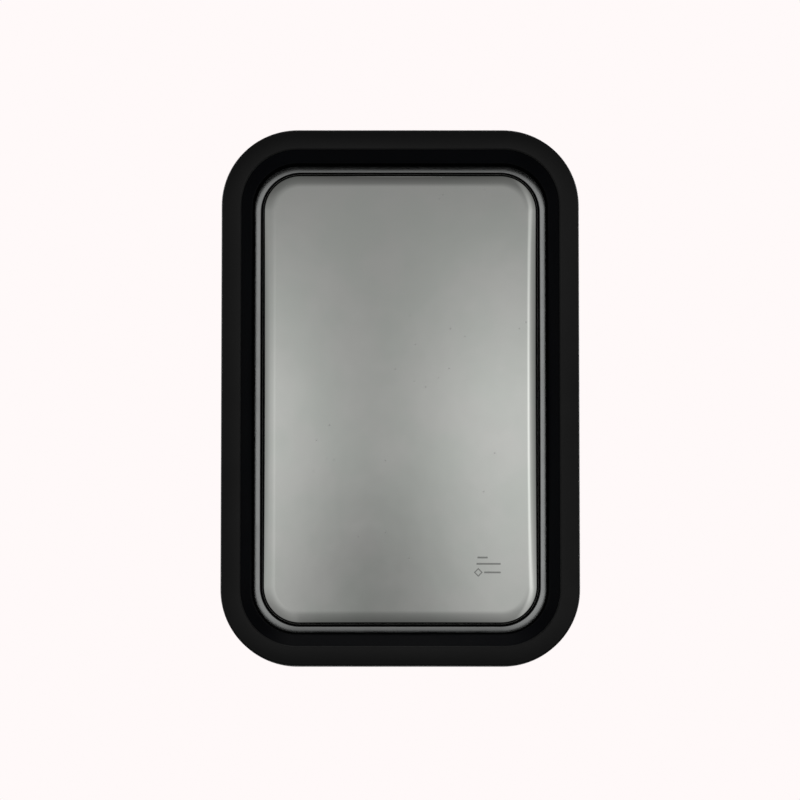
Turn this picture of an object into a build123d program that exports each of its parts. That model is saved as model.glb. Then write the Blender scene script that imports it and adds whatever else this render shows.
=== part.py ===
"""Rectangular convex security mirror on a pan-and-tilt wall arm.

The wall is the plane y = 0 and the mirror faces -Y, with +Z up. The origin is the centre of the wall plate's
back face. All sizes are millimetres. Each function makes one sub-part, which is written as parts/NAME.step.
"""

import os
from math import cos, pi, sin

from build123d import *

# Frame and reveal. Insets are measured inwards from the frame's outer outline.
FRAME_W = 400.0
FRAME_H = 600.0
FRAME_R = 85.0
FRAME_DEPTH = 40.0
FLANGE_WIDTH = 22.0
FLANGE_THICK = 4.0
FLANGE_DROP = 3.0  # how far the flange's face falls back towards its outer edge
FRAME_EDGE_FILLET = 3.0
FLANGE_LIP_FILLET = 1.8
SKIRT = 3.0
REVEAL_SIDE = 14.5  # width of the sloping reveal at the left and right
REVEAL_END = 15.8  # width of the sloping reveal at the top and bottom
REVEAL_DEPTH = 28.0
REVEAL_FOOT = 2.8  # width of the reveal's steeper foot
REVEAL_KNEE = 17.0  # depth at which the foot starts
RING_WALL = 2.5
RING_RIM = 6.0  # reach of the retaining ring under the frame's flange
RING_LAND = 12.0  # reach of the retaining ring's land over the lens flange

# Convex lens, formed from one sheet with a flat flange round it.
LENS_SHEET = 3.0
LENS_OVERLAP = 10.0  # reach of the lens flange behind the retaining ring
LENS_RIM = 8.0  # flange that shows inside the reveal
LENS_RISE = 25.0  # from the flange's face to the crown
LENS_RADIUS = 2400.0
LENS_DRAFT = 4.0  # how far the dome's wall leans in over the whole rise
LENS_EDGE_FILLET = 8.5
LENS_CREASE_FILLET = 1.6

# Seals behind and in front of the lens flange.
SEAL_WIDTH = 7.5
FRONT_SEAL = 1.5
FOAM_TAPE = 1.5

# Back shell.
SHELL_WALL = 3.0
SHELL_GAP = 0.4
PAN_DEPTH = 17.0
PAN_DRAFT = 18.0
PAN_INSET = 35.0
RIB_WIDTH = 4.0
RIB_HEIGHT = 3.0
RIB_GAP_X = 32.0  # from the pad to the upright ribs
RIB_GAP_Z = 44.0  # from the pad to the first cross ribs
RIB_STEP_Z = 90.0
PAD_MARGIN = 14.0  # how far the pad reaches beyond the bracket
PAD_RADIUS = 12.0

# Screws that hold the back shell to the frame's bosses.
BOSS_INSET = 10.5
BOSS_D = 9.0
SCREW_D = 3.5
SCREW_LENGTH = 16.0
SCREW_HEAD_D = 7.2
SCREW_HEAD_H = 2.6
SCREW_PITCH = 150.0  # greatest distance between screws along a straight side
BORE_CLEARANCE = 0.1  # on the diameter, in a boss
HOLE_CLEARANCE = 0.5  # on the diameter, through the shell

# Bracket and its bolts on the back shell.
STIFFENER_MARGIN = 8.0  # how far the stiffener reaches beyond the bracket
STIFFENER_THICK = 3.0
BRACKET_EDGE = 12.0  # from each bolt's axis to the bracket's edge
BRACKET_THICK = 4.0
BOLT_SPACING = 60.0
M6 = 6.0
M6_HOLE = 6.6
M6_LENGTH = 20.0
M6_HEAD_ACROSS = 10.0
M6_HEAD_H = 4.0
M6_NUT_H = 5.0
M6_WASHER_D = 12.0
M6_WASHER_H = 1.6

# Pivots, which are alike at both ends of the arm.
ARM_LENGTH = 160.0
PAN_AXIS_Y = -45.0
TILT_STANDOFF = 38.0  # from the tilt axis to the back shell's pad
EYE_SHOULDER = 1.0  # how far the eye stands out beyond the tube all round
EYE_EDGE = 0.7
FRICTION_WASHER = 0.95
PIVOT_PLAY = 0.05  # axial play beside each friction washer
EAR_THICK = 4.0
EAR_MARGIN = 1.0  # how far an ear stands out beyond the eye
EAR_WELD = 3.0
M8 = 8.0
M8_CLEARANCE = 0.1  # on the diameter, in a bore
NECK_CLEARANCE = 0.2  # across the square neck's hole
WASHER_CLEARANCE = 0.4  # on the diameter, in a washer
M8_DOME_D = 19.0
M8_DOME_H = 4.5
M8_NECK_H = 3.6
M8_SHORT = 1.0  # from the shank's end to the bottom of the knob's hole
M8_CHAMFER = 1.0
M8_WASHER_D = 24.0
M8_WASHER_H = 1.6

# Arm.
TUBE_D = 28.0
TUBE_WALL = 2.0
TUBE_SETBACK = 20.0  # from each pivot axis to the tube's end
PLUG_LENGTH = 24.0
PIN_D = 4.0
PIN_SETBACK = 12.0
PIN_SHORT = 1.0  # how much shorter a pin is than the tube's diameter

# Star knobs.
KNOB_LOBES = 5
KNOB_D = 42.0
KNOB_LOBE_R = 6.5
KNOB_LOBE_FILLET = 3.25  # between the lobes
KNOB_H = 15.0
KNOB_HUB_D = 22.0
KNOB_HUB_H = 3.0
KNOB_FILLET = 1.5
INSERT_D = 12.0
INSERT_LENGTH = 12.0
THREAD_CLEARANCE = 0.1  # on the diameter

# Wall plate and clevis.
PLATE_W = 110.0
PLATE_H = 120.0
PLATE_R = 12.0
PLATE_THICK = 4.0
WALL_HOLE_X = 80.0
WALL_HOLE_Z = 90.0
WALL_HOLE_D = 7.0
CLEVIS_BASE_W = 48.0
CLEVIS_BASE_H = 58.0

# Sizes that follow from the ones above.
EYE_R = TUBE_D / 2 + EYE_SHOULDER
EYE_WIDTH = TUBE_D + 2 * EYE_SHOULDER
EAR_R = EYE_R + EAR_MARGIN
EAR_GAP = EYE_WIDTH + 2 * (FRICTION_WASHER + 2 * PIVOT_PLAY)
BRACKET_PLATE = BOLT_SPACING + 2 * BRACKET_EDGE
STIFFENER_SIZE = BRACKET_PLATE + 2 * STIFFENER_MARGIN
PAD_SIZE = BRACKET_PLATE + 2 * PAD_MARGIN
RIB_X = PAD_SIZE / 2 + RIB_GAP_X
RIB_Z = (PAD_SIZE / 2 + RIB_GAP_Z, PAD_SIZE / 2 + RIB_GAP_Z + RIB_STEP_Z)

# Places along y that follow from the sizes above.
TILT_AXIS_Y = PAN_AXIS_Y - ARM_LENGTH
PAD_Y = TILT_AXIS_Y - TILT_STANDOFF
FRONT_Y = PAD_Y - (FRAME_DEPTH + PAN_DEPTH + RIB_HEIGHT)

# Depths behind the frame's front.
RING_BACK = REVEAL_DEPTH + RING_WALL
LENS_FACE = RING_BACK + FRONT_SEAL
LENS_BACK = LENS_FACE + LENS_SHEET
SHELL_FACE = LENS_BACK + FOAM_TAPE
SHELL_BACK = SHELL_FACE + SHELL_WALL
PAN_BACK = FRAME_DEPTH + PAN_DEPTH
PAN_FLOOR = PAN_BACK - SHELL_WALL
PAD_BACK = PAN_BACK + RIB_HEIGHT

# Insets that follow from the sizes above, as (sides, ends).
LIP = (FLANGE_WIDTH + REVEAL_SIDE, FLANGE_WIDTH + REVEAL_END)
DOME = (LIP[0] + LENS_RIM, LIP[1] + LENS_RIM)
LENS_FLANGE = (LIP[0] - LENS_OVERLAP, LIP[1] - LENS_OVERLAP)
SEAL_OUTER = (LIP[0] - SEAL_WIDTH, LIP[1] - SEAL_WIDTH)


STANDING = (Align.CENTER, Align.CENTER, Align.MIN)  # centred on Z and standing on the plane z = 0


def plane_at(y):
    """The plane at y that looks along -Y, so that its own x is +X and its own y is +Z."""
    return Plane(origin=(0, y, 0), x_dir=(1, 0, 0), z_dir=(0, -1, 0))


def prism(sketch, y0, y1):
    """The sketch, drawn in x and z, made solid from y0 back to y1."""
    return extrude(plane_at(y1) * sketch, y1 - y0)


def outline(inset):
    """The frame's rounded rectangle, moved in by the same amount all round or by (sides, ends)."""
    side, end = inset if isinstance(inset, tuple) else (inset, inset)
    return RectangleRounded(FRAME_W - 2 * side, FRAME_H - 2 * end, FRAME_R - side)


def slab(inset, depth0, depth1):
    """A slab of that outline between two depths behind the frame's front."""
    return prism(outline(inset), FRONT_Y + depth0, FRONT_Y + depth1)


def taper(inset0, depth0, inset1, depth1):
    """A solid that changes evenly from one outline to the other between two depths."""
    front = plane_at(FRONT_Y + depth0) * outline(inset0)
    back = plane_at(FRONT_Y + depth1) * outline(inset1)
    return loft([front, back], ruled=True)


def moved_inset(inset, by):
    """An inset pair moved further in by the same amount on every side."""
    return (inset[0] + by, inset[1] + by)


def rod(diameter, y0, y1, x=0.0, z=0.0):
    """A round rod along y."""
    return prism(Pos(x, z) * Circle(diameter / 2), y0, y1)


def tube_ring(outer, inner, height):
    """A flat ring about Z that stands on the plane z = 0."""
    return extrude(Circle(outer / 2) - Circle(inner / 2), height)


def edges_at(shape, y, tolerance=0.01):
    """The shape's edges that lie wholly at y."""
    return [e for e in shape.edges() if abs(e.bounding_box().min.Y - y) < tolerance
            and abs(e.bounding_box().max.Y - y) < tolerance]


def screw_places():
    """(x, z) of the back shell's screws: one at each corner's middle, the rest evenly along the sides."""
    half_w, half_h = FRAME_W / 2 - BOSS_INSET, FRAME_H / 2 - BOSS_INSET
    corner_x, corner_z = FRAME_W / 2 - FRAME_R, FRAME_H / 2 - FRAME_R
    reach = (FRAME_R - BOSS_INSET) * cos(pi / 4)
    places = [(sx * (corner_x + reach), sz * (corner_z + reach)) for sx in (-1, 1) for sz in (-1, 1)]
    for straight, place in ((2 * corner_z, lambda t, s: (s * half_w, t)),
                            (2 * corner_x, lambda t, s: (t, s * half_h))):
        count = max(2, round(straight / SCREW_PITCH) + 1)
        step = straight / count
        for i in range(count):
            for side in (-1, 1):
                places.append(place((i - (count - 1) / 2) * step, side))
    return places


def bolt_places():
    """(x, z) of the four bracket bolts. The square lets the mirror be hung upright or lengthways."""
    half = BOLT_SPACING / 2
    return [(sx * half, sz * half) for sx in (-1, 1) for sz in (-1, 1)]


# ---- mirror head -----------------------------------------------------------------------------------------

def outer_frame():
    """Moulded frame: a sloping front flange, a skirt, and bosses for the back shell's screws."""
    face = taper(FLANGE_WIDTH, 0, 0, FLANGE_DROP)
    body = face + slab(0, FLANGE_DROP, FRAME_DEPTH)
    body = fillet(edges_at(body, FRONT_Y + FLANGE_DROP), FRAME_EDGE_FILLET)
    body -= slab(SKIRT, FLANGE_THICK, FRAME_DEPTH)
    body -= slab(FLANGE_WIDTH, 0, FLANGE_THICK)
    body = fillet(edges_at(body, FRONT_Y), FLANGE_LIP_FILLET)
    for x, z in screw_places():
        boss = rod(BOSS_D, FRONT_Y + FLANGE_THICK, FRONT_Y + SHELL_FACE, x, z)
        body += boss
    for x, z in screw_places():
        bore = rod(SCREW_D + BORE_CLEARANCE, FRONT_Y + SHELL_BACK - SCREW_LENGTH, FRONT_Y + SHELL_FACE, x, z)
        body -= bore
    return body


def retaining_ring():
    """Sloping reveal that hooks under the frame's flange and presses on the lens flange."""
    rim = slab(FLANGE_WIDTH - RING_RIM, FLANGE_THICK, FLANGE_THICK + RING_WALL)
    land = slab(moved_inset(LIP, -RING_LAND), REVEAL_DEPTH, RING_BACK)
    knee = moved_inset(LIP, -REVEAL_FOOT)
    outside = [moved_inset((FLANGE_WIDTH, FLANGE_WIDTH), -RING_WALL), moved_inset(knee, -RING_WALL),
               moved_inset(LIP, -RING_WALL)]
    inside = [(FLANGE_WIDTH, FLANGE_WIDTH), knee, LIP]
    depths = [FLANGE_THICK, REVEAL_KNEE, REVEAL_DEPTH]
    body = rim + land
    for i in range(2):
        body += taper(outside[i], depths[i], outside[i + 1], depths[i + 1])
    for i in range(2):
        body -= taper(inside[i], depths[i], inside[i + 1], depths[i + 1])
    return body - slab(LIP, REVEAL_DEPTH, RING_BACK)


def front_seal():
    """Rubber strip between the retaining ring's land and the lens flange."""
    return slab(SEAL_OUTER, RING_BACK, LENS_FACE) - slab(LIP, RING_BACK, LENS_FACE)


def dome(inset, depth, rise, radius, edge):
    """A block that leans in from that outline to a spherical crown, rise in front of the given depth."""
    crown_y = FRONT_Y + depth - rise
    block = taper(moved_inset(inset, LENS_DRAFT), depth - rise, inset, depth)
    block &= Pos(0, crown_y + radius, 0) * Sphere(radius)
    crown = block.faces().sort_by(Axis.Y)[0]
    return fillet(crown.edges(), edge)


def mirror_lens():
    """Convex mirror: a flat flange and a crowned dome, formed from one sheet."""
    body = slab(LENS_FLANGE, LENS_FACE, LENS_BACK)
    body += dome(DOME, LENS_FACE, LENS_RISE, LENS_RADIUS, LENS_EDGE_FILLET)
    crease = [e for e in edges_at(body, FRONT_Y + LENS_FACE) if abs(e.center().X) < FRAME_W / 2 - LIP[0]
              and abs(e.center().Z) < FRAME_H / 2 - LIP[1]]
    body = fillet(crease, LENS_CREASE_FILLET)
    inside = dome(moved_inset(DOME, LENS_SHEET), LENS_BACK, LENS_RISE, LENS_RADIUS - LENS_SHEET,
                  LENS_EDGE_FILLET - LENS_SHEET)
    return body - inside


def foam_tape():
    """Foam strip between the lens flange and the back shell."""
    return slab(SEAL_OUTER, LENS_BACK, SHELL_FACE) - slab(LIP, LENS_BACK, SHELL_FACE)


def back_shell():
    """Rear cover: a rim that closes the frame, and a ribbed pan with a pad for the bracket."""
    pan_mouth, pan_end = PAN_INSET, PAN_INSET + PAN_DRAFT
    body = slab(SKIRT + SHELL_GAP, SHELL_FACE, SHELL_BACK)
    body += taper(pan_mouth, SHELL_FACE, pan_end, PAN_BACK)
    body += prism(RectangleRounded(PAD_SIZE, PAD_SIZE, PAD_RADIUS), FRONT_Y + PAN_BACK, FRONT_Y + PAD_BACK)
    upright = Rectangle(RIB_WIDTH, FRAME_H - 2 * (pan_end + FRAME_R / 2))
    cross = Rectangle(FRAME_W - 2 * (pan_end + RIB_WIDTH), RIB_WIDTH)
    ribs = [Pos(sx * RIB_X, 0) * upright for sx in (-1, 1)]
    ribs += [Pos(0, sz * z) * cross for sz in (-1, 1) for z in RIB_Z]
    for rib in ribs:
        body += prism(rib, FRONT_Y + PAN_BACK, FRONT_Y + PAD_BACK)
    body -= taper(pan_mouth + SHELL_WALL, SHELL_FACE, pan_end + SHELL_WALL, PAN_FLOOR)
    for x, z in screw_places():
        body -= rod(SCREW_D + HOLE_CLEARANCE, FRONT_Y + SHELL_FACE, FRONT_Y + SHELL_BACK, x, z)
    for x, z in bolt_places():
        body -= rod(M6_HOLE, FRONT_Y + PAN_FLOOR, FRONT_Y + PAD_BACK, x, z)
    return body


def shell_screws():
    """Pan-head screws, one in each boss."""
    back = FRONT_Y + SHELL_BACK
    slot = (SCREW_HEAD_D / 2, SCREW_D / 4)
    cross = Rectangle(*slot) + Rectangle(*reversed(slot))
    screws = []
    for x, z in screw_places():
        head = rod(SCREW_HEAD_D, back, back + SCREW_HEAD_H, x, z)
        head = fillet(edges_at(head, back + SCREW_HEAD_H), SCREW_HEAD_H / 2)
        head -= prism(Pos(x, z) * cross, back + SCREW_HEAD_H / 2, back + SCREW_HEAD_H)
        screws.append(head + rod(SCREW_D, back - SCREW_LENGTH, back, x, z))
    return screws


def stiffener_plate():
    """Steel plate inside the back shell that spreads the bracket's load."""
    floor = FRONT_Y + PAN_FLOOR
    plate = RectangleRounded(STIFFENER_SIZE, STIFFENER_SIZE, PAD_RADIUS)
    for x, z in bolt_places():
        plate -= Pos(x, z) * Circle(M6_HOLE / 2)
    return prism(plate, floor - STIFFENER_THICK, floor)


def clevis_ear(base_y, axis_y, inner, width):
    """One ear of a clevis: a tab above z = inner that runs from base_y round the pivot at axis_y."""
    middle = (base_y + axis_y) / 2
    tab = Pos(0, middle) * Rectangle(width, abs(axis_y - base_y)) + Pos(0, axis_y) * Circle(EAR_R)
    return Pos(0, 0, inner) * extrude(tab, EAR_THICK)


def clevis(base, base_face, base_back, axis_y):
    """A clevis for a pivot along Z at axis_y: two ears welded to a base plate between two values of y."""
    outer_face = base_face if abs(base_face - axis_y) < abs(base_back - axis_y) else base_back
    body = prism(base, base_face, base_back)
    for side in (0, 180):
        ear = clevis_ear(outer_face, axis_y, EAR_GAP / 2, 2 * EAR_R)
        body += Rot(0, side, 0) * ear
    welds = [e for e in edges_at(body, outer_face) if abs(e.center().X) < EAR_R + EAR_WELD
             and abs(e.center().Z) < EAR_GAP / 2 + EAR_THICK + EAR_WELD]
    body = fillet(welds, EAR_WELD)
    body -= Pos(0, axis_y, 0) * Cylinder((M8 + M8_CLEARANCE) / 2, 2 * EAR_GAP)
    square = M8 + NECK_CLEARANCE
    neck = Box(square, square, EAR_THICK, align=STANDING)
    return body - Pos(0, axis_y, EAR_GAP / 2) * neck


def to_tilt(shape):
    """Turns a pivot made about Z at the tilt axis so that it lies along X, with +Z becoming -X."""
    return Rot(0, -90, 0) * shape


def head_bracket():
    """Steel clevis bolted to the back shell's pad."""
    base = RectangleRounded(BRACKET_PLATE, BRACKET_PLATE, PAD_RADIUS)
    for x, z in bolt_places():
        base -= Pos(x, z) * Circle(M6_HOLE / 2)
    return to_tilt(clevis(base, PAD_Y, PAD_Y + BRACKET_THICK, TILT_AXIS_Y))


def bracket_washers():
    """Flat washers under the bracket bolts' heads."""
    face = PAD_Y + BRACKET_THICK
    return [prism(Pos(x, z) * (Circle(M6_WASHER_D / 2) - Circle(M6_HOLE / 2)), face, face + M6_WASHER_H)
            for x, z in bolt_places()]


def bracket_bolts():
    """Hexagon bolts through the bracket, the shell's pad and the stiffener plate."""
    face = PAD_Y + BRACKET_THICK + M6_WASHER_H
    bolts = []
    for x, z in bolt_places():
        hexagon = Pos(x, z) * RegularPolygon(M6_HEAD_ACROSS / 2, 6, major_radius=False)
        head = prism(hexagon, face, face + M6_HEAD_H)
        bolts.append(head + rod(M6, face - M6_LENGTH, face, x, z))
    return bolts


def bracket_nuts():
    """Hexagon nuts inside the back shell."""
    back = FRONT_Y + PAN_FLOOR - STIFFENER_THICK
    nut = RegularPolygon(M6_HEAD_ACROSS / 2, 6, major_radius=False) - Circle(M6 / 2)
    return [prism(Pos(x, z) * nut, back - M6_NUT_H, back) for x, z in bolt_places()]


# ---- pivots ----------------------------------------------------------------------------------------------

def carriage_bolt(axis_y):
    """Domed bolt along Z whose head is on top, with a square neck and a shank that ends inside the knob."""
    top = EAR_GAP / 2 + EAR_THICK
    dome_r = ((M8_DOME_D / 2) ** 2 + M8_DOME_H ** 2) / (2 * M8_DOME_H)
    head = Pos(0, 0, top + M8_DOME_H - dome_r) * Sphere(dome_r)
    head &= Pos(0, 0, top) * Cylinder(M8_DOME_D / 2, M8_DOME_H, align=STANDING)
    neck = Pos(0, 0, top - M8_NECK_H) * Box(M8, M8, M8_NECK_H, align=STANDING)
    end = -(top + M8_WASHER_H + INSERT_LENGTH - M8_SHORT)
    shank = Pos(0, 0, end) * Cylinder(M8 / 2, top - end, align=STANDING)
    shank = chamfer(shank.edges().sort_by(Axis.Z)[0], M8_CHAMFER)
    return Pos(0, axis_y, 0) * (head + neck + shank)


def friction_washers(axis_y):
    """Nylon washers between the arm's eye and the clevis ears."""
    ring = tube_ring(2 * EYE_R, M8 + WASHER_CLEARANCE, FRICTION_WASHER)
    low = EYE_WIDTH / 2 + PIVOT_PLAY
    return [Pos(0, axis_y, low) * ring, Pos(0, axis_y, -low - FRICTION_WASHER) * ring]


def knob_washer(axis_y):
    """Flat steel washer between the clevis and the knob."""
    ring = tube_ring(M8_WASHER_D, M8 + WASHER_CLEARANCE, M8_WASHER_H)
    return Pos(0, axis_y, -EAR_GAP / 2 - EAR_THICK - M8_WASHER_H) * ring


def knob_seat():
    """Height of the knob's seat against its washer, below the pivot's middle."""
    return -(EAR_GAP / 2 + EAR_THICK + M8_WASHER_H + PIVOT_PLAY)


def star_knob(axis_y):
    """Moulded star knob with a blind hole for its insert, seen from below."""
    ring = KNOB_D / 2 - KNOB_LOBE_R
    star = Circle(ring)
    for i in range(KNOB_LOBES):
        turn = 2 * pi * i / KNOB_LOBES
        star += Pos(ring * cos(turn), ring * sin(turn)) * Circle(KNOB_LOBE_R)
    star = fillet(star.vertices(), KNOB_LOBE_FILLET)
    grip = extrude(star, KNOB_H)
    grip = fillet(grip.edges().group_by(Axis.Z)[0] + grip.edges().group_by(Axis.Z)[-1], KNOB_FILLET)
    grip = Pos(0, 0, knob_seat() - KNOB_HUB_H - KNOB_H) * grip
    hub = Pos(0, 0, knob_seat() - KNOB_HUB_H) * extrude(Circle(KNOB_HUB_D / 2), KNOB_HUB_H)
    hole = Pos(0, 0, knob_seat() - INSERT_LENGTH) * extrude(Circle(INSERT_D / 2), INSERT_LENGTH)
    return Pos(0, axis_y, 0) * (grip + hub - hole)


def knob_insert(axis_y):
    """Brass insert in the knob, which runs on the bolt's thread."""
    ring = tube_ring(INSERT_D, M8 + THREAD_CLEARANCE, INSERT_LENGTH)
    return Pos(0, axis_y, knob_seat() - INSERT_LENGTH) * ring


# ---- arm -------------------------------------------------------------------------------------------------

def arm_ends():
    """(pivot axis, direction towards the arm's middle) of the wall end and the head end."""
    return ((PAN_AXIS_Y, -1), (TILT_AXIS_Y, 1))


def pin_y(axis_y, inwards):
    """Where the cross pin beside a pivot lies."""
    return axis_y + inwards * (TUBE_SETBACK + PIN_SETBACK)


def cross_pin(y):
    """A pin along X through the whole tube."""
    return Pos(0, y, 0) * Rot(0, 90, 0) * Cylinder(PIN_D / 2, TUBE_D - PIN_SHORT)


def arm_tube():
    """Steel tube between the two eyes."""
    start, end = PAN_AXIS_Y - TUBE_SETBACK, TILT_AXIS_Y + TUBE_SETBACK
    tube = rod(TUBE_D, end, start) - rod(TUBE_D - 2 * TUBE_WALL, end, start)
    for axis_y, inwards in arm_ends():
        tube -= Pos(0, pin_y(axis_y, inwards), 0) * Rot(0, 90, 0) * Cylinder(PIN_D / 2, 2 * TUBE_D)
    return tube


def arm_eye(axis_y, inwards):
    """Cast eye with its bore along Z, a neck as wide as the tube, and a plug that fits inside it."""
    neck_end = axis_y + inwards * TUBE_SETBACK
    plug_end = neck_end + inwards * PLUG_LENGTH
    eye = Pos(0, axis_y, 0) * Cylinder(EYE_R, EYE_WIDTH)
    eye = fillet(eye.edges().group_by(Axis.Z)[0] + eye.edges().group_by(Axis.Z)[-1], EYE_EDGE)
    body = eye + rod(TUBE_D, min(axis_y, neck_end), max(axis_y, neck_end))
    body += rod(TUBE_D - 2 * TUBE_WALL, min(neck_end, plug_end), max(neck_end, plug_end))
    return body - Pos(0, axis_y, 0) * Cylinder((M8 + M8_CLEARANCE) / 2, 2 * EYE_WIDTH)


def arm_wall_eye():
    """Eye that pans about the wall clevis."""
    return arm_eye(*arm_ends()[0]) - cross_pin(pin_y(*arm_ends()[0]))


def arm_head_eye():
    """Eye that carries the mirror head, with its bore along X."""
    return to_tilt(arm_eye(*arm_ends()[1])) - cross_pin(pin_y(*arm_ends()[1]))


def arm_pins():
    """Cross pins that lock both eyes in the tube."""
    return [cross_pin(pin_y(axis_y, inwards)) for axis_y, inwards in arm_ends()]


# ---- wall ------------------------------------------------------------------------------------------------

def wall_plate():
    """Steel plate with four holes for wall screws."""
    plate = RectangleRounded(PLATE_W, PLATE_H, PLATE_R)
    for sx in (-1, 1):
        for sz in (-1, 1):
            plate -= Pos(sx * WALL_HOLE_X / 2, sz * WALL_HOLE_Z / 2) * Circle(WALL_HOLE_D / 2)
    return prism(plate, -PLATE_THICK, 0)


def wall_clevis():
    """Clevis welded to the wall plate."""
    base = RectangleRounded(CLEVIS_BASE_W, CLEVIS_BASE_H, EAR_WELD)
    return clevis(base, -PLATE_THICK - BRACKET_THICK, -PLATE_THICK, PAN_AXIS_Y)


def whole_mirror():
    """Every sub-part by its node's name, as one solid or a list of alike solids."""
    return {
        "outer_frame": outer_frame(),
        "retaining_ring": retaining_ring(),
        "front_seal": front_seal(),
        "mirror_lens": mirror_lens(),
        "foam_tape": foam_tape(),
        "back_shell": back_shell(),
        "shell_screws": shell_screws(),
        "stiffener_plate": stiffener_plate(),
        "head_bracket": head_bracket(),
        "bracket_washers": bracket_washers(),
        "bracket_bolts": bracket_bolts(),
        "bracket_nuts": bracket_nuts(),
        "tilt_bolt": to_tilt(carriage_bolt(TILT_AXIS_Y)),
        "tilt_friction_washers": [to_tilt(w) for w in friction_washers(TILT_AXIS_Y)],
        "tilt_knob_washer": to_tilt(knob_washer(TILT_AXIS_Y)),
        "tilt_knob": to_tilt(star_knob(TILT_AXIS_Y)),
        "tilt_knob_insert": to_tilt(knob_insert(TILT_AXIS_Y)),
        "arm_tube": arm_tube(),
        "arm_wall_eye": arm_wall_eye(),
        "arm_head_eye": arm_head_eye(),
        "arm_pins": arm_pins(),
        "pan_bolt": carriage_bolt(PAN_AXIS_Y),
        "pan_friction_washers": friction_washers(PAN_AXIS_Y),
        "pan_knob_washer": knob_washer(PAN_AXIS_Y),
        "pan_knob": star_knob(PAN_AXIS_Y),
        "pan_knob_insert": knob_insert(PAN_AXIS_Y),
        "wall_plate": wall_plate(),
        "wall_clevis": wall_clevis(),
    }


def main():
    os.makedirs("parts", exist_ok=True)
    for name, shape in whole_mirror().items():
        solids = [s for part in (shape if isinstance(shape, list) else [shape]) for s in part.solids()]
        node = Compound(children=solids, label=name) if len(solids) > 1 else solids[0]
        node.label = name
        export_step(node, f"parts/{name}.step")


main()
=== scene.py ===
"""Looks of the rectangular convex security mirror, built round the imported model.

Everything is in metres in the model's frame: the wall is the plane y = 0, the mirror faces -Y and +Z is up.
"""

from math import cos, hypot, pi, radians, sin, sqrt

import bmesh
import bpy
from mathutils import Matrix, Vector


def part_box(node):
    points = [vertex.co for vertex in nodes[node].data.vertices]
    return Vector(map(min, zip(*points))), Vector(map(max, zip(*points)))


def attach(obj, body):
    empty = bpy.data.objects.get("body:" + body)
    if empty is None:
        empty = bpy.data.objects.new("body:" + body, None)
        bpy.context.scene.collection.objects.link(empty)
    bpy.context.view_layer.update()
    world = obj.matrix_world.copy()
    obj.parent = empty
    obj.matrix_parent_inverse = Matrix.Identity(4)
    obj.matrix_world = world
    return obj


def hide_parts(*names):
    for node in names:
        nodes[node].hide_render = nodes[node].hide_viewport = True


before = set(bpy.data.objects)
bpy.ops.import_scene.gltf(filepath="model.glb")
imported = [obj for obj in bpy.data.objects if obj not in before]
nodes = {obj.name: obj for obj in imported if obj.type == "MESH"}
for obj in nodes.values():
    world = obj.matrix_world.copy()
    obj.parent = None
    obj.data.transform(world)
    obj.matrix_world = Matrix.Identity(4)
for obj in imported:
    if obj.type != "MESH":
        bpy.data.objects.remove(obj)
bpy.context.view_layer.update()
MM = 0.001

# Camera: a long lens a few degrees below the mirror's axis.
CAMERA_BELOW = 4.8
CAMERA_DISTANCE = 4.955
CAMERA_LENS = 200.0
CAMERA_SENSOR = 36.0
CAMERA_CLIP = 100.0
CAMERA_AIM_X = -0.3 * MM
CAMERA_AIM_Z = -4.0 * MM

# Lens shape.
LENS_CORNER_R = 61.5 * MM
LENS_SHEET = 3.0 * MM
LENS_RADIUS = 2400.0 * MM
LENS_FLANGE = 18.0 * MM  # from the lens's outer edge to the crease
LENS_HIDDEN = 10.0 * MM  # the part of that which lies under the ring
FLANGE_SLOPE = 10.0 * MM  # width over which the flange slopes forward to the crease
SIDE_RISE = 1.1 * MM  # height of that slope at the sides
END_RISE = 1.85 * MM  # and at the ends
BEAD_HEIGHT = 0.15 * MM  # swell in the middle of the slope
ROLL_WIDTH = 2.0 * MM  # where the flange rolls down into the crease
ROLL_DEPTH = 0.6 * MM
CREASE_WIDTH = 3.4 * MM  # width of the dome's steep foot
EDGE_WIDTH = 16.0 * MM  # width of the dome's rounded edge
EDGE_SHARE = 0.72  # share of the dome's height that rises steeply at the crease
SHADE_CORE = 1.0 * MM  # solid painted shade to each side of the crease
SHADE_FADE = 1.9 * MM  # where it ends
FLANGE_STEPS = 40
FOOT_STEPS = 16
EDGE_STEPS = 20
EDGE_OVERRUN = 2  # steps carried on past the rounded edge
CROWN_RINGS = 60

# Frame moulding.
FRAME_CORNER_R = 85.0 * MM
FRAME_DEPTH = 40.0 * MM
FLANGE_WIDTH = 22.0 * MM
FLANGE_THICK = 4.0 * MM
FLANGE_DROP = 3.0 * MM
FLANGE_CROWNING = 2.2  # how late the crowned face falls away
SKIRT = 3.0 * MM
EDGE_FILLET = 3.0 * MM
LIP_FILLET = 1.8 * MM
PARTING_DEPTH = 21.0 * MM
PARTING_WIDTH = 0.5 * MM
BOSS_INSET = 10.5 * MM
BOSS_R = 4.5 * MM
BOSS_BORE_R = 1.8 * MM
BOSS_END = 37.0 * MM
SIDE_BOSSES = 4
END_BOSSES = 3
BOSS_STEPS = 20
EDGE_FILLET_STEPS = 8
LIP_FILLET_STEPS = 7
FACE_STEPS = 14

# Retaining ring.
LIP_SIDE = 36.5 * MM  # from the frame's outside to the ring's lip, at the sides
LIP_END = 37.8 * MM  # and at the ends
FOOT = 2.8 * MM
FOOT_START = 1.2 * MM
KNEE_DEPTH = 17.0 * MM
KNEE_STEPS = 8
REVEAL_DEPTH = 28.0 * MM
REVEAL_CHAMFER = 0.3 * MM
LIP_LAND = 1.0 * MM
RING_WALL = 2.5 * MM
RING_RIM = 6.0 * MM
RING_LAND = 12.0 * MM

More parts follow.
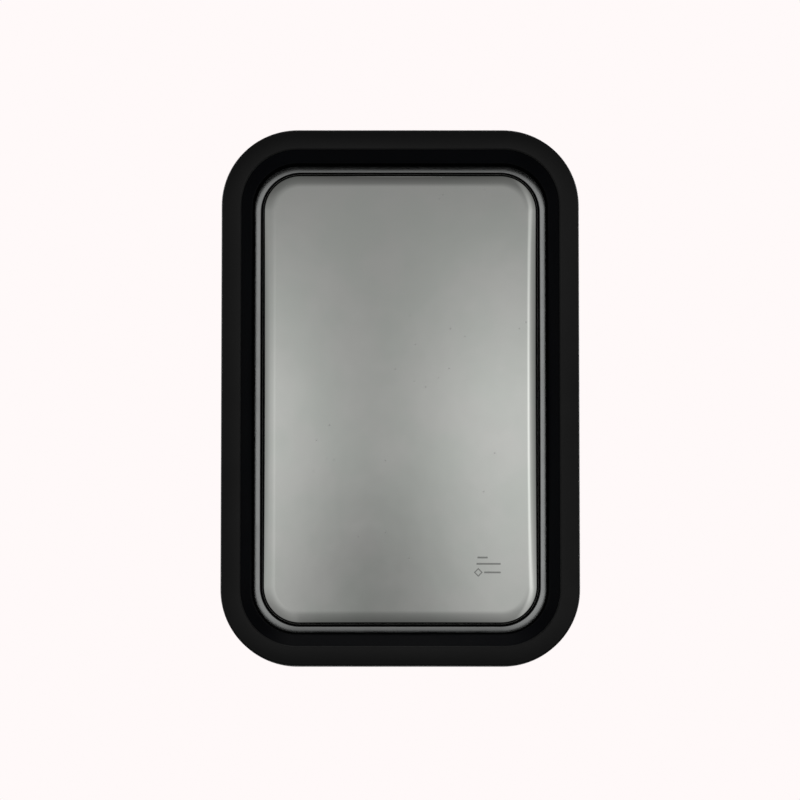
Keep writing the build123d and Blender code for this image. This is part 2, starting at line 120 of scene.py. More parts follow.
# Printed mark, with its shapes in millimetres about its middle.
MARK_X = 98.0 * MM
MARK_Z = -190.0 * MM
MARK_LIFT = 0.06 * MM
MARK_THICK = 0.10 * MM
BARS = ((11.0, -12.0, -0.5), (4.0, -13.0, 14.0), (-5.5, -4.5, 14.0))  # height, left end, right end
BAR_HALF = 1.0
DIAMOND_X = -11.0
DIAMOND_Z = -5.5
DIAMOND_OUTER = 5.0
DIAMOND_INNER = 3.2

# Outlines.
ARC_STEPS = 28
SIDE_STEPS = 40
CRISP_ANGLE = 32.0

BEVEL_SAMPLES = 4
BACKDROP_WHITE = (1.0, 0.947, 0.947, 1.0)


# ---- node helpers ----------------------------------------------------------------------------------------

class Tree:
    """A short way to add and join shader nodes."""

    def __init__(self, tree):
        self.tree = tree

    def add(self, kind, inputs=None, **settings):
        node = self.tree.nodes.new(kind)
        for name, value in settings.items():
            setattr(node, name, value)
        for key, value in (inputs or {}).items():
            self.put(node.inputs[key], value)
        return node

    def put(self, socket, value):
        if isinstance(value, bpy.types.NodeSocket):
            self.tree.links.new(value, socket)
        elif isinstance(value, bpy.types.Node):
            self.tree.links.new(value.outputs[0], socket)
        else:
            socket.default_value = value

    def math(self, operation, a, b=0.0, c=0.0):
        node = self.add("ShaderNodeMath", operation=operation)
        for socket, value in zip(node.inputs, (a, b, c)):
            self.put(socket, value)
        return node.outputs[0]

    def spread(self, value, low, high, to_low=0.0, to_high=1.0):
        """Maps low..high smoothly to to_low..to_high."""
        inputs = {"Value": value, "From Min": low, "From Max": high, "To Min": to_low, "To Max": to_high}
        return self.add("ShaderNodeMapRange", inputs, interpolation_type="SMOOTHSTEP").outputs[0]

    def noise(self, vector, scale, detail=3.0, roughness=0.5):
        inputs = {"Vector": vector, "Scale": scale, "Detail": detail, "Roughness": roughness}
        return self.add("ShaderNodeTexNoise", inputs).outputs[0]

    def attribute(self, name):
        return self.add("ShaderNodeAttribute", attribute_name=name).outputs["Fac"]

    def mix(self, factor, a, b):
        """Mixes two colours. Sockets 6 and 7 are the Mix node's colours."""
        node = self.add("ShaderNodeMix", data_type="RGBA")
        self.put(node.inputs["Factor"], factor)
        self.put(node.inputs[6], a)
        self.put(node.inputs[7], b)
        return node.outputs[2]

    def ramp(self, factor, stops):
        """A grey ramp of (position, tone) stops, in order."""
        node = self.add("ShaderNodeValToRGB", {"Fac": factor})
        elements = node.color_ramp.elements
        for index, (position, tone) in enumerate(stops):
            element = elements[0] if index == 0 else elements.new(position)
            element.position = position
            element.color = grey(tone)
        elements.remove(elements[len(elements) - 1])
        return node.outputs[0]


def grey(tone):
    return (tone, tone, tone, 1.0)


def scaled(colour, factor):
    return tuple(c * factor for c in colour[:3]) + (1.0,)


def new_material(name):
    """A material with its Principled shader and the coordinates of the model's frame."""
    material = bpy.data.materials.new(name)
    material.use_nodes = True
    tree = Tree(material.node_tree)
    shader = material.node_tree.nodes["Principled BSDF"]
    place = tree.add("ShaderNodeTexCoord").outputs["Object"]
    return material, tree, shader, place


def bump(tree, shader, height, strength, distance):
    """Adds a bump to the shader, on top of one it has."""
    node = tree.add("ShaderNodeBump", {"Height": height, "Strength": strength, "Distance": distance})
    if shader.inputs["Normal"].links:
        tree.put(node.inputs["Normal"], shader.inputs["Normal"].links[0].from_socket)
    tree.put(shader.inputs["Normal"], node)


def soften(tree, shader, width):
    """Rounds sharp edges in the shading. Bumps added later go on top of this."""
    tree.put(shader.inputs["Normal"], tree.add("ShaderNodeBevel", {"Radius": width}, samples=BEVEL_SAMPLES))


def edge_mask(tree, width, low=0.02, high=0.25):
    """1 on convex and concave edges, 0 on flat surfaces."""
    bevel = tree.add("ShaderNodeBevel", {"Radius": width}, samples=BEVEL_SAMPLES)
    normal = tree.add("ShaderNodeNewGeometry").outputs["Normal"]
    dot = tree.add("ShaderNodeVectorMath", operation="DOT_PRODUCT")
    tree.put(dot.inputs[0], bevel)
    tree.put(dot.inputs[1], normal)
    return tree.spread(tree.math("SUBTRACT", 1.0, dot.outputs["Value"]), low, high)


# ---- materials -------------------------------------------------------------------------------------------

def moulded_plastic(name, colour, worn, grain, roughness, specular, dust=0.0, lip_light=None, rounded=0.0):
    """Black moulded plastic: fine grain, slow changes of colour and gloss, scuffed edges, some dust, and
    optionally painted light that pales the face towards the flange's inner edge.
    """
    material, tree, shader, place = new_material(name)
    if rounded:
        soften(tree, shader, rounded)
    slow = tree.noise(place, 9.0, 4.0)
    fine = tree.noise(place, 1.0 / grain, 2.0)
    tone = tree.mix(tree.spread(slow, 0.35, 0.65), colour, scaled(colour, 1.35))
    if lip_light:
        # Painted light: the face is made paler towards the flange's inner edge.
        tone = tree.mix(tree.attribute("near_lip"), tone, lip_light)
    scuffs = tree.spread(tree.noise(place, 60.0, 5.0), 0.45, 0.7)
    wear = tree.math("MULTIPLY", edge_mask(tree, 0.8 * MM), scuffs)
    tone = tree.mix(tree.math("MULTIPLY", wear, 0.5), tone, worn)
    if dust:
        specks = tree.add("ShaderNodeTexVoronoi", {"Vector": place, "Scale": 55.0, "Randomness": 1.0})
        near = tree.spread(specks.outputs["Distance"], 0.0, 0.07, 1.0, 0.0)
        rare = tree.spread(tree.noise(place, 21.0, 2.0), 0.6, 0.68)
        dusty = tree.math("MULTIPLY", tree.math("MULTIPLY", near, rare), dust)
        tone = tree.mix(dusty, tone, grey(0.2))
    tree.put(shader.inputs["Base Color"], tone)
    gloss = tree.math("ADD", tree.spread(slow, 0.3, 0.7, roughness - 0.05, roughness + 0.05),
                      tree.math("MULTIPLY", fine, 0.08))
    tree.put(shader.inputs["Roughness"], gloss)
    shader.inputs["Specular IOR Level"].default_value = specular
    bump(tree, shader, fine, 0.25, grain * 0.25)
    return material


def mirror_skin():
    """Second-surface acrylic mirror: silver with a green-grey cast, faint waviness, wipe marks and dust.

    The flange is duller than the dome, and its silver is darkened as painted shade from the recess; painted
    shade also darkens the crease between them.
    """
    material, tree, shader, place = new_material("mirror_skin")
    cloud = tree.noise(place, 14.0, 3.0)
    silver = tree.mix(tree.spread(cloud, 0.35, 0.65), (0.805, 0.835, 0.79, 1.0), (0.845, 0.855, 0.82, 1.0))
    flange = tree.attribute("flange")
    crease_shade = tree.attribute("crease_shade")
    specks = tree.add("ShaderNodeTexVoronoi", {"Vector": place, "Scale": 75.0}).outputs["Distance"]
    rare = tree.spread(tree.noise(place, 13.0, 2.0), 0.56, 0.62)
    dust = tree.math("MULTIPLY", tree.spread(specks, 0.02, 0.12, 0.5, 0.0), rare)
    # Painted shade: the flange's silver is darkened where it lies down in the recess.
    tone = tree.mix(flange, silver, (0.48, 0.49, 0.485, 1.0))
    tone = tree.mix(dust, tone, (0.75, 0.76, 0.74, 1.0))
    # Painted shade: the crease is darkened to near black, and there made less metallic and rougher.
    tree.put(shader.inputs["Base Color"], tree.mix(crease_shade, tone, grey(0.006)))
    outside_crease = tree.math("SUBTRACT", 1.0, crease_shade)
    tree.put(shader.inputs["Metallic"], tree.math("MULTIPLY", outside_crease, tree.math("SUBTRACT", 1.0, dust)))
    smear = tree.spread(tree.noise(place, 38.0, 5.0, 0.6), 0.3, 0.75, 0.055, 0.11)
    duller = tree.math("MULTIPLY_ADD", flange, 0.16, smear)
    tree.put(shader.inputs["Roughness"], tree.math("MULTIPLY_ADD", crease_shade, 0.6, duller))
    shader.inputs["Specular IOR Level"].default_value = 0.1
    bump(tree, shader, tree.noise(place, 22.0, 2.0), 0.35, 0.25 * MM)
    bump(tree, shader, tree.noise(place, 420.0, 2.0), 0.10, 0.01 * MM)
    return material


def coated_steel(name, colour):
    """Black powder coat: orange-peel bump, satin gloss, bare steel showing on a few edges."""
    material, tree, shader, place = new_material(name)
    soften(tree, shader, 0.7 * MM)
    peel = tree.noise(place, 900.0, 2.0)
    slow = tree.noise(place, 30.0, 4.0)
    scuffs = tree.spread(tree.noise(place, 140.0, 5.0), 0.48, 0.64)
    wear = tree.math("MULTIPLY", edge_mask(tree, 0.5 * MM), scuffs)
    tone = tree.mix(tree.spread(slow, 0.3, 0.7), colour, scaled(colour, 1.3))
    tree.put(shader.inputs["Base Color"], tree.mix(wear, tone, (0.32, 0.31, 0.30, 1.0)))
    tree.put(shader.inputs["Metallic"], tree.math("MULTIPLY", wear, 0.9))
    tree.put(shader.inputs["Roughness"], tree.spread(slow, 0.3, 0.7, 0.32, 0.44))
    shader.inputs["Specular IOR Level"].default_value = 0.5
    bump(tree, shader, peel, 0.35, 0.05 * MM)
    return material


def plated_steel(name, colour, roughness):
    """Zinc plate or brass: soft crystalline patches and fine scratches."""
    material, tree, shader, place = new_material(name)
    soften(tree, shader, 0.4 * MM)
    patch = tree.noise(place, 260.0, 4.0, 0.65)
    stretched = tree.add("ShaderNodeMapping", {"Vector": place, "Scale": (1500.0, 90.0, 90.0)})
    scratch = tree.noise(stretched, 1.0, 3.0)
    tree.put(shader.inputs["Base Color"],
             tree.mix(tree.spread(patch, 0.35, 0.7), scaled(colour, 0.72), colour))
    shader.inputs["Metallic"].default_value = 1.0
    tree.put(shader.inputs["Roughness"], tree.spread(patch, 0.3, 0.7, roughness + 0.12, roughness))
    bump(tree, shader, scratch, 0.15, 0.02 * MM)
    return material


def soft_rubber(name, colour, cell, depth, specular=0.5):
    """Rubber or closed-cell foam: a cellular bump and an uneven dull surface."""
    material, tree, shader, place = new_material(name)
    cells = tree.add("ShaderNodeTexVoronoi", {"Vector": place, "Scale": 1.0 / cell}).outputs["Distance"]
    slow = tree.noise(place, 50.0, 3.0)
    tree.put(shader.inputs["Base Color"], tree.mix(slow, colour, scaled(colour, 1.6)))
    tree.put(shader.inputs["Roughness"], tree.spread(slow, 0.3, 0.7, 0.75, 0.92))
    shader.inputs["Specular IOR Level"].default_value = specular
    bump(tree, shader, cells, 0.5, depth)
    return material


def nylon():
    """Natural nylon: milky, slightly translucent, with turned marks."""
    material, tree, shader, place = new_material("nylon")
    slow = tree.noise(place, 180.0, 4.0)
    tree.put(shader.inputs["Base Color"], tree.mix(slow, (0.66, 0.64, 0.56, 1.0), (0.80, 0.78, 0.71, 1.0)))
    tree.put(shader.inputs["Roughness"], tree.spread(slow, 0.3, 0.7, 0.35, 0.5))
    shader.inputs["Subsurface Weight"].default_value = 0.15
    shader.inputs["Subsurface Radius"].default_value = (0.5 * MM, 0.4 * MM, 0.3 * MM)
    bump(tree, shader, tree.noise(place, 900.0, 2.0), 0.2, 0.03 * MM)
    return material


def printed_grey():
    """Thin grey ink on the mirror's face, which shows through it."""
    material, tree, shader, place = new_material("printed_grey")
    speckle = tree.noise(place, 900.0, 3.0)
    tree.put(shader.inputs["Base Color"], tree.mix(speckle, grey(0.02), grey(0.06)))
    tree.put(shader.inputs["Roughness"], tree.spread(speckle, 0.3, 0.7, 0.5, 0.7))
    shader.inputs["Alpha"].default_value = 0.33
    return material


# ---- mesh helpers ----------------------------------------------------------------------------------------

def rounded_outline(half_w, half_h, corner):
    """(x, z, normal x, normal z) round a rounded rectangle, anticlockwise from the right side."""
    places = []
    for quarter in range(4):
        start = quarter * pi / 2
        sx = 1 if quarter in (0, 3) else -1
        sz = 1 if quarter in (0, 1) else -1
        centre = (sx * (half_w - corner), sz * (half_h - corner))
        for step in range(ARC_STEPS + 1):
            turn = start + step / ARC_STEPS * pi / 2
            nx, nz = cos(turn), sin(turn)
            places.append((centre[0] + corner * nx, centre[1] + corner * nz, nx, nz))
        after = (quarter + 1) * pi / 2
        length = 2 * ((half_w - corner) if quarter in (0, 2) else (half_h - corner))
        along = (-sin(after), cos(after))
        x0, z0 = places[-1][:2]
        for step in range(1, SIDE_STEPS):
            run = length * step / SIDE_STEPS
            places.append((x0 + along[0] * run, z0 + along[1] * run, cos(after), sin(after)))
    return places


def offset(places, inset):
    """(x, z) of the outline moved inwards."""
    return [(x - nx * inset, z - nz * inset) for x, z, nx, nz in places]


def link_mesh(name, bm, material, body, smooth=True):
    """Makes the piece from a bmesh and lets it ride on a body."""
    bmesh.ops.recalc_face_normals(bm, faces=bm.faces)
    mesh = bpy.data.meshes.new(name)
    bm.to_mesh(mesh)
    bm.free()
    for polygon in mesh.polygons:
        polygon.use_smooth = smooth
    mesh.materials.append(material)
    piece = bpy.data.objects.new(name, mesh)
    bpy.context.scene.collection.objects.link(piece)
    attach(piece, body)
    return piece


def sharpen(piece):
    """Keeps edges sharper than CRISP_ANGLE crisp in the shading."""
    bm = bmesh.new()
    bm.from_mesh(piece.data)
    for edge in bm.edges:
        edge.smooth = len(edge.link_faces) == 2 and edge.calc_face_angle() < radians(CRISP_ANGLE)
    bm.to_mesh(piece.data)
    bm.free()


def bridge(bm, ring_a, ring_b):
    """A band of faces between two closed rings."""
    count = len(ring_a)
    for i in range(count):
        j = (i + 1) % count
        bm.faces.new((ring_a[i], ring_a[j], ring_b[j], ring_b[i]))


# ---- frame moulding --------------------------------------------------------------------------------------

frame_low, frame_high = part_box("outer_frame")
front_y = frame_high.y - FRAME_DEPTH
crown_gap = frame_low.y - front_y  # how far the crown's highest line stands behind the nominal front


def flange_depth(inset):
    """Depth of the flange's crowned face, which is level at its inner edge and falls back outwards."""
    return FLANGE_DROP * (1 - inset / FLANGE_WIDTH) ** FLANGE_CROWNING


def frame_profile():
    """(inset, depth) points round the moulding's section, from the skirt's back edge up its outside."""
    half = PARTING_WIDTH / 2
    points = [(0.0, FRAME_DEPTH)]
    points += [(0.0, PARTING_DEPTH + half), (half, PARTING_DEPTH), (0.0, PARTING_DEPTH - half)]
    top = flange_depth(EDGE_FILLET)
    for step in range(EDGE_FILLET_STEPS + 1):
        turn = step / EDGE_FILLET_STEPS * pi / 2
        points.append((EDGE_FILLET * (1 - cos(turn)), top + EDGE_FILLET * (1 - sin(turn))))
    flat = FLANGE_WIDTH - LIP_FILLET
    for step in range(1, FACE_STEPS + 1):
        inset = EDGE_FILLET + (flat - EDGE_FILLET) * step / FACE_STEPS
        points.append((inset, flange_depth(inset)))
    for step in range(1, LIP_FILLET_STEPS + 1):
        turn = step / LIP_FILLET_STEPS * pi / 2
        points.append((flat + LIP_FILLET * sin(turn), LIP_FILLET * (1 - cos(turn))))
    points += [(FLANGE_WIDTH, FLANGE_THICK), (SKIRT, FLANGE_THICK), (SKIRT, FRAME_DEPTH)]
    return points


def boss_places():
    """(x, z) of the screw bosses: one in each corner and the rest evenly along the straight sides."""
    half_w, half_h = frame_high.x - BOSS_INSET, frame_high.z - BOSS_INSET
    corner_x, corner_z = frame_high.x - FRAME_CORNER_R, frame_high.z - FRAME_CORNER_R
    reach = (FRAME_CORNER_R - BOSS_INSET) * cos(pi / 4)
    places = [(sx * (corner_x + reach), sz * (corner_z + reach)) for sx in (-1, 1) for sz in (-1, 1)]
    for side in (-1, 1):
        for i in range(SIDE_BOSSES):
            places.append((side * half_w, (i - (SIDE_BOSSES - 1) / 2) * 2 * corner_z / SIDE_BOSSES))
        for i in range(END_BOSSES):
            places.append(((i - (END_BOSSES - 1) / 2) * 2 * corner_x / END_BOSSES, side * half_h))
    return places


def circle_ring(bm, x, y, z, radius):
    turns = [2 * pi * i / BOSS_STEPS for i in range(BOSS_STEPS)]
    return [bm.verts.new((x + radius * cos(t), y, z + radius * sin(t))) for t in turns]


def mark_lip(piece):
    """Stores how near each point is to the flange's inner edge, where painted light makes the face paler."""
    near = piece.data.attributes.new("near_lip", "FLOAT", "POINT")
    for vertex, value in zip(piece.data.vertices, near.data):
        over_x = max(abs(vertex.co.x) - frame_high.x + FRAME_CORNER_R, 0.0)
        over_z = max(abs(vertex.co.z) - frame_high.z + FRAME_CORNER_R, 0.0)
        inset = FRAME_CORNER_R - hypot(over_x, over_z)
        on_face = vertex.co.y < front_y + FLANGE_THICK
        value.value = max(inset / FLANGE_WIDTH, 0.0) ** 2 if on_face else 0.0


def make_frame(material):
    """The frame's crowned flange and skirt, with its parting line and screw bosses."""
    bm = bmesh.new()
    places = rounded_outline(frame_high.x, frame_high.z, FRAME_CORNER_R)
    rings = []
    for inset, depth in frame_profile():
        y = front_y + depth + crown_gap * max(1 - depth / FLANGE_THICK, 0.0)
        rings.append([bm.verts.new((x, y, z)) for x, z in offset(places, inset)])
    for a, b in zip(rings, rings[1:] + rings[:1]):
        bridge(bm, a, b)
    near, far = front_y + FLANGE_THICK, front_y + BOSS_END
    for x, z in boss_places():
        walls = [circle_ring(bm, x, y, z, r) for y, r in
                 ((near, BOSS_R), (far, BOSS_R), (far, BOSS_BORE_R), (near + BOSS_R, BOSS_BORE_R))]
        for a, b in zip(walls, walls[1:]):
            bridge(bm, a, b)
        bm.faces.new(walls[0])
        bm.faces.new(walls[-1])
    piece = link_mesh("frame_moulding", bm, material, "mirror_head")
    sharpen(piece)
    mark_lip(piece)
    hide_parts("outer_frame")


# ---- retaining ring --------------------------------------------------------------------------------------

def ring_profile():
    """(side inset, end inset, depth, foot) round the ring's section. The foot is the lip over the lens."""
    def level(inset, depth):
        return (inset, inset, depth, False)

    def from_lip(back, depth, foot=False):
        return (LIP_SIDE - back, LIP_END - back, depth, foot)

    rim = FLANGE_WIDTH - RING_RIM
    start = level(FLANGE_WIDTH, FLANGE_THICK + REVEAL_CHAMFER)
    knee = from_lip(FOOT, KNEE_DEPTH)
    points = [level(rim, FLANGE_THICK), level(FLANGE_WIDTH - REVEAL_CHAMFER, FLANGE_THICK), start]
    for step in range(1, KNEE_STEPS):
        share = step / KNEE_STEPS
        side, end, depth = (a + (b - a) * share for a, b in zip(start[:3], knee[:3]))
        points.append((side, end, depth, False))
    points += [knee,
               from_lip(FOOT * 0.85, KNEE_DEPTH + FOOT_START, True),
               from_lip(FOOT * 0.1, REVEAL_DEPTH - LIP_LAND, True),
               from_lip(0.0, REVEAL_DEPTH, True),
               from_lip(0.0, REVEAL_DEPTH + RING_WALL, True),
               from_lip(RING_LAND, REVEAL_DEPTH + RING_WALL),
               from_lip(RING_LAND, REVEAL_DEPTH),
               from_lip(RING_WALL, REVEAL_DEPTH),
               from_lip(FOOT + RING_WALL, KNEE_DEPTH),
               level(FLANGE_WIDTH - RING_WALL, FLANGE_THICK + RING_WALL),
               level(rim, FLANGE_THICK + RING_WALL)]
    return points


def make_ring(plastic, foot_black):
    """The sloping reveal between the frame and the lens, with a dull foot."""
    bm = bmesh.new()
    profile = ring_profile()
    rings = []
    for side, end, depth, _ in profile:
        places = rounded_outline(frame_high.x - side, frame_high.z - end, FRAME_CORNER_R - side)
        rings.append([bm.verts.new((x, front_y + depth, z)) for x, z in offset(places, 0.0)])
    # The foot faces get the near-black, almost unreflective material, which keeps them dark along the lens.
    for index, (a, b) in enumerate(zip(rings, rings[1:] + rings[:1])):
        before = len(bm.faces)
        bridge(bm, a, b)
        bm.faces.ensure_lookup_table()
        for face in bm.faces[before:]:
            face.material_index = 1 if profile[index][3] else 0
    piece = link_mesh("reveal_ring", bm, plastic, "mirror_head")
    piece.data.materials.append(foot_black)
    sharpen(piece)
    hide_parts("retaining_ring")


# ---- lens ------------------------------------------------------------------------------------------------

lens_low, lens_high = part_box("mirror_lens")
flange_y = lens_high.y - LENS_SHEET
crown_y = lens_low.y
lens_outline = rounded_outline(lens_high.x, lens_high.z, LENS_CORNER_R)


def crown_at(x, z):
    """y of the lens crown's front at x, z."""
    return crown_y + LENS_RADIUS - sqrt(LENS_RADIUS ** 2 - x * x - z * z)


def dome_share(inward):
    """Share of the dome's height reached at this distance inwards from the crease."""
    steep = sqrt(1 - (1 - min(inward / CREASE_WIDTH, 1)) ** 2)
    slope = 1 - (1 - min(inward / EDGE_WIDTH, 1)) ** 2
    return EDGE_SHARE * steep + (1 - EDGE_SHARE) * slope


def flange_shape(outward, rise):
    """Depth of the flange behind its hidden part: it rolls up out of the crease, then slopes back."""
    roll = max(1 - outward / ROLL_WIDTH, 0.0)
    across = min(outward / FLANGE_SLOPE, 1.0)
    forward = rise * (1 - across) + BEAD_HEIGHT * sin(across * pi)
    return (ROLL_DEPTH + rise) * roll ** 2 - forward


def lens_surface(x, z, inward):
    """y of the dome's front at x, z, this far inwards from the crease."""
    foot = flange_y + ROLL_DEPTH
    return foot - (foot - crown_at(x, z)) * dome_share(inward)


def lens_insets():
    """Insets from the lens's outer edge that carry its profile, up to the crown."""
    insets = [0.0, LENS_HIDDEN * 0.5]
    for step in range(FLANGE_STEPS + 1):
        insets.append(LENS_FLANGE - FLANGE_SLOPE * (1 - step / FLANGE_STEPS))
    for step in range(1, FOOT_STEPS + 1):
        insets.append(LENS_FLANGE + CREASE_WIDTH * (1 - cos(step / FOOT_STEPS * pi / 2)))
    rest = EDGE_WIDTH - CREASE_WIDTH
    for step in range(1, EDGE_STEPS + EDGE_OVERRUN + 1):
        insets.append(LENS_FLANGE + CREASE_WIDTH + rest * step / EDGE_STEPS)
    return insets


def lens_ring(bm, inset, back):
    """One ring of vertices on the lens's front or, a sheet's thickness behind and inside it, on its back."""
    inward = inset - LENS_FLANGE
    shift = LENS_SHEET if back and inward >= -LENS_HIDDEN * 0.5 else 0.0
    ring = []
    moved = offset(lens_outline, inset + shift)
    facing = offset(lens_outline, inset)
    for (x, z), (fx, fz), (_, _, nx, nz) in zip(moved, facing, lens_outline):
        if inward > 0:
            y = lens_surface(fx, fz, inward)
        else:
            y = flange_y + flange_shape(-inward, SIDE_RISE * nx ** 2 + END_RISE * nz ** 2)
        ring.append(bm.verts.new((x, y + (LENS_SHEET if back else 0.0), z)))
    return ring


def lens_side(bm, back):
    """All rings of one side of the lens, closed over the crown."""
    insets = lens_insets()
    rings = [lens_ring(bm, inset, back) for inset in insets]
    last = offset(lens_outline, insets[-1] + (LENS_SHEET if back else 0.0))
    for step in range(1, CROWN_RINGS):
        share = 1 - step / CROWN_RINGS
        ring = []
        for x, z in last:
            y = crown_at(x * share, z * share) + (LENS_SHEET if back else 0.0)
            ring.append(bm.verts.new((x * share, y, z * share)))
        rings.append(ring)
    for a, b in zip(rings, rings[1:]):
        bridge(bm, a, b)
    middle = bm.verts.new((0.0, crown_y + (LENS_SHEET if back else 0.0), 0.0))
    count = len(rings[-1])
    for i in range(count):
        bm.faces.new((rings[-1][i], rings[-1][(i + 1) % count], middle))
    return rings[0]


def make_lens(material):
    """The domed sheet, which stores where its flange is and where painted shade darkens the crease."""
    bm = bmesh.new()
    bridge(bm, lens_side(bm, False), lens_side(bm, True))
    piece = link_mesh("mirror_face", bm, material, "mirror_head")
    flange = piece.data.attributes.new("flange", "FLOAT", "POINT")
    crease_shade = piece.data.attributes.new("crease_shade", "FLOAT", "POINT")
    corner = LENS_CORNER_R - LENS_FLANGE
    straight = Vector((lens_high.x - LENS_CORNER_R, lens_high.z - LENS_CORNER_R))
    for vertex, on_flange, shaded in zip(piece.data.vertices, flange.data, crease_shade.data):
        over_x = max(abs(vertex.co.x) - straight.x, 0.0)
        over_z = max(abs(vertex.co.z) - straight.y, 0.0)
        outward = hypot(over_x, over_z) - corner
        on_flange.value = 1.0 if outward > 0.1 * MM else 0.0
        # Painted shade for the crease: full close to it, fading out further away.
        unshaded = min(max((abs(outward) - SHADE_CORE) / (SHADE_FADE - SHADE_CORE), 0.0), 1.0)
        shaded.value = 1 - unshaded
    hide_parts("mirror_lens")


def make_mark(material):
    """A plain printed diamond with three bars near the lens's lower right corner."""
    bm = bmesh.new()
    shapes = []
    for z, x0, x1 in BARS:
        shapes.append([(x0, z - BAR_HALF), (x1, z - BAR_HALF), (x1, z + BAR_HALF), (x0, z + BAR_HALF)])
    for side in range(4):
        a, b = side * pi / 2, (side + 1) * pi / 2
        corners = ((DIAMOND_OUTER, a), (DIAMOND_OUTER, b), (DIAMOND_INNER, b), (DIAMOND_INNER, a))
        shapes.append([(DIAMOND_X + reach * cos(t), DIAMOND_Z + reach * sin(t)) for reach, t in corners])
    for shape in shapes:
        rings = []
        for up in (MARK_LIFT, MARK_LIFT - MARK_THICK):
            ring = []
            for u, v in shape:
                x, z = MARK_X + u * MM, MARK_Z + v * MM
                ring.append(bm.verts.new((x, crown_at(x, z) - up, z)))
            rings.append(ring)
        bridge(bm, *rings)
        bm.faces.new(rings[0])
        bm.faces.new(rings[1])
    piece = link_mesh("printed_mark", bm, material, "mirror_head", smooth=False)


# ---- dress the model -------------------------------------------------------------------------------------

def paint(material, *names):
    """Gives the material to CAD nodes that keep their own meshes."""
    for name in names:
        data = nodes[name].data
        data.materials.clear()
        data.materials.append(material)


frame_plastic = moulded_plastic("frame_plastic", (0.0007, 0.0007, 0.0008, 1.0), grey(0.02),
                                0.45 * MM, 0.40, 0.30, dust=0.8, lip_light=grey(0.013))
ring_plastic = moulded_plastic("ring_plastic", (0.0030, 0.0034, 0.0050, 1.0), (0.01, 0.01, 0.012, 1.0),
                               0.3 * MM, 0.42, 0.08)
dull_black = soft_rubber("dull_black", (0.0008, 0.0008, 0.001, 1.0), 0.4 * MM, 0.02 * MM, specular=0.02)
shell_plastic = moulded_plastic("shell_plastic", (0.012, 0.012, 0.0125, 1.0), grey(0.07),
                                0.6 * MM, 0.50, 0.45, dust=0.6, rounded=1.2 * MM)
knob_plastic = moulded_plastic("knob_plastic", (0.012, 0.012, 0.0125, 1.0), grey(0.06),
                               0.35 * MM, 0.4, 0.45, rounded=0.8 * MM)
black_coat = coated_steel("black_coat", (0.011, 0.011, 0.0115, 1.0))
black_screw = coated_steel("black_screw", (0.02, 0.02, 0.021, 1.0))
zinc = plated_steel("zinc", (0.62, 0.63, 0.64, 1.0), 0.28)
brass = plated_steel("brass", (0.74, 0.55, 0.26, 1.0), 0.25)
seal_rubber = soft_rubber("seal_rubber", grey(0.012), 1.2 * MM, 0.03 * MM)
foam = soft_rubber("foam", (0.04, 0.04, 0.042, 1.0), 0.5 * MM, 0.1 * MM)

paint(shell_plastic, "back_shell")
paint(knob_plastic, "tilt_knob", "pan_knob")
paint(black_coat, "head_bracket", "arm_tube", "arm_wall_eye", "arm_head_eye", "wall_plate", "wall_clevis")
paint(black_screw, "shell_screws")
paint(zinc, "stiffener_plate", "bracket_washers", "bracket_bolts", "bracket_nuts", "tilt_bolt",
      "tilt_knob_washer", "arm_pins", "pan_bolt", "pan_knob_washer")
paint(brass, "tilt_knob_insert", "pan_knob_insert")
paint(nylon(), "tilt_friction_washers", "pan_friction_washers")
paint(seal_rubber, "front_seal")
paint(foam, "foam_tape")

make_frame(frame_plastic)
make_ring(ring_plastic, dull_black)
make_lens(mirror_skin())
make_mark(printed_grey())


# ---- surroundings ----------------------------------------------------------------------------------------

# Tones of the room by height in degrees above level: ahead of the mirror, and to each side of that.
MIDDLE_TONES = [(-90, 0.30), (-60, 0.15), (-50, 0.09), (-20, 0.17), (-6, 0.26), (1, 0.37), (5, 0.37),
                (18, 0.29), (31, 0.16), (50, 0.09), (90, 0.08)]
BESIDE_TONES = [(-90, 0.30), (-60, 0.15), (-50, 0.12), (-20, 0.30), (-5, 0.53), (1, 0.60), (5, 0.60),
                (11, 0.46), (18, 0.30), (31, 0.16), (50, 0.09), (90, 0.08)]
# Strength of the room by bearing in degrees, 0 ahead of the mirror and positive to its right.
BEARING_TONES = [(-180, 1.4), (-130, 1.4), (-95, 0.6), (-85, 0.45), (-65, 0.4), (-52, 0.55), (-37, 0.77),
                 (-25, 0.85), (-14, 1.0), (20, 1.0), (25, 1.6), (30, 1.6), (37, 0.85), (46, 0.6), (60, 0.35),
                 (85, 0.4), (95, 0.6), (130, 1.4), (180, 1.4)]
MIDDLE_BEARING = -1.7
MIDDLE_SPREAD = 9.5
FLOOR_Z = -2.2  # the mirror hangs well above head height
FLOOR_HALF = 3.0


def by_height(tones):
    """Turns degrees above level into the share of the way from straight down to straight up."""
    return [((sin(radians(degrees)) + 1) / 2, tone) for degrees, tone in tones]


